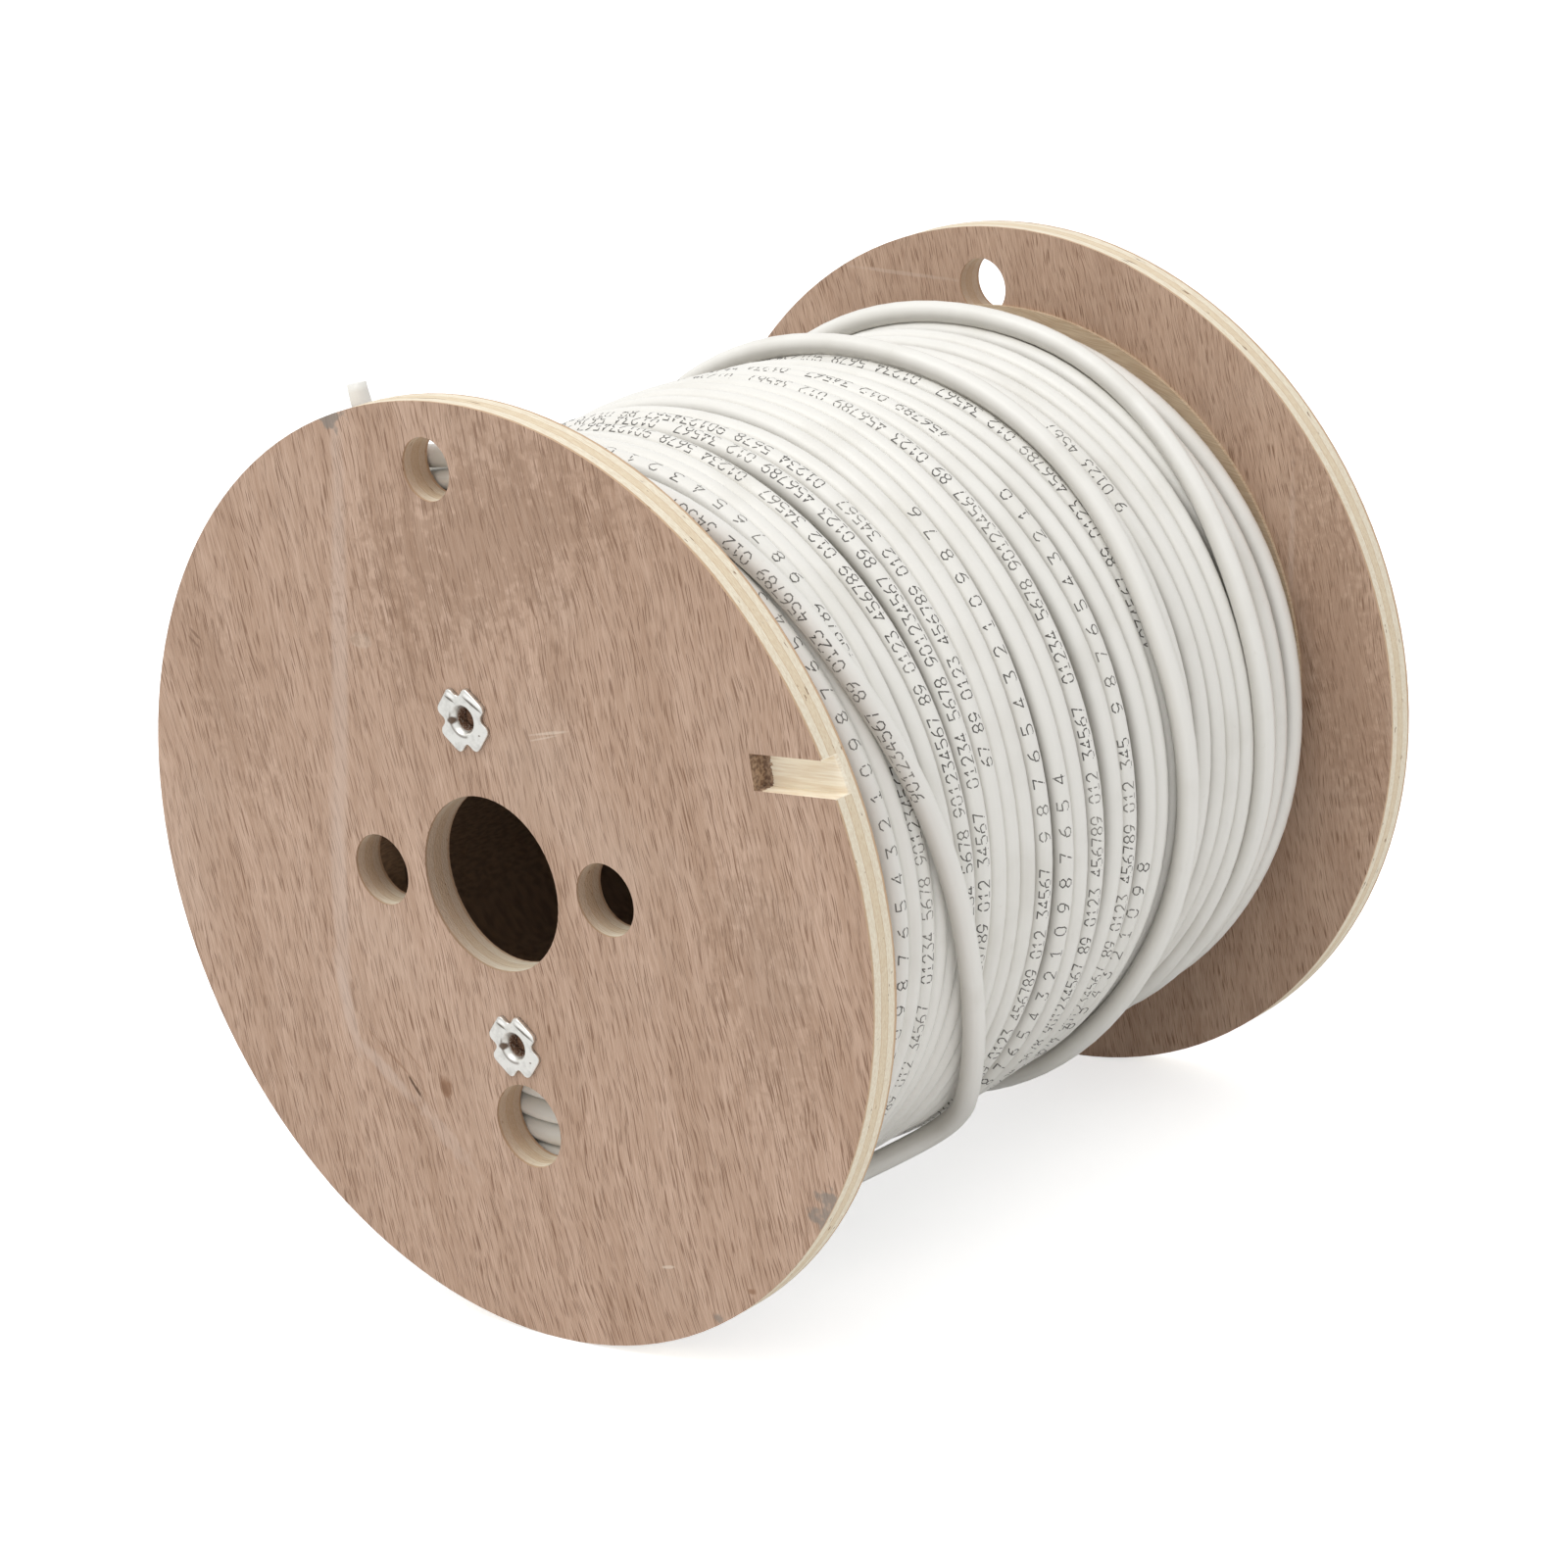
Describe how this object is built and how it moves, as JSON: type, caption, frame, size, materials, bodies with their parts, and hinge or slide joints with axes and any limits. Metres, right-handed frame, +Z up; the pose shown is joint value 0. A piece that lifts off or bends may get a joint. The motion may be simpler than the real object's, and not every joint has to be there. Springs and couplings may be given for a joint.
{
  "type": "cable reel",
  "caption": "Plywood reel with a fibreboard core between round flanges, wound almost full with thin round cable whose cut end stands up behind a rim.",
  "frame": {"origin": "centre of the spindle hole, halfway between the two flanges", "axes": "+Y along the spindle axis, from the flange with the tee nuts to the flange with the bolt heads; +Z up, towards the tie holes"},
  "size_m": [0.2666, 0.2551, 0.2687],
  "materials": {
    "plywood": "bare plywood, pale and slightly rough",
    "fibreboard": "brown wound paper board, matt",
    "card": "thin brown card, matt",
    "zinc_steel": "bright zinc plate",
    "cable_jacket": "white vinyl jacket, slightly soiled"
  },
  "bodies": {
    "root": {"near_flange": "plywood", "far_flange": "plywood", "core_tube": "fibreboard", "liner_disc": "card", "tee_nut_upper": "zinc_steel", "tee_nut_lower": "zinc_steel", "bolt_upper": "zinc_steel", "bolt_lower": "zinc_steel", "washer_upper": "zinc_steel", "washer_lower": "zinc_steel", "cable_inner_layers": "cable_jacket", "cable_outer_layer": "cable_jacket"}
  },
  "joints": []
}
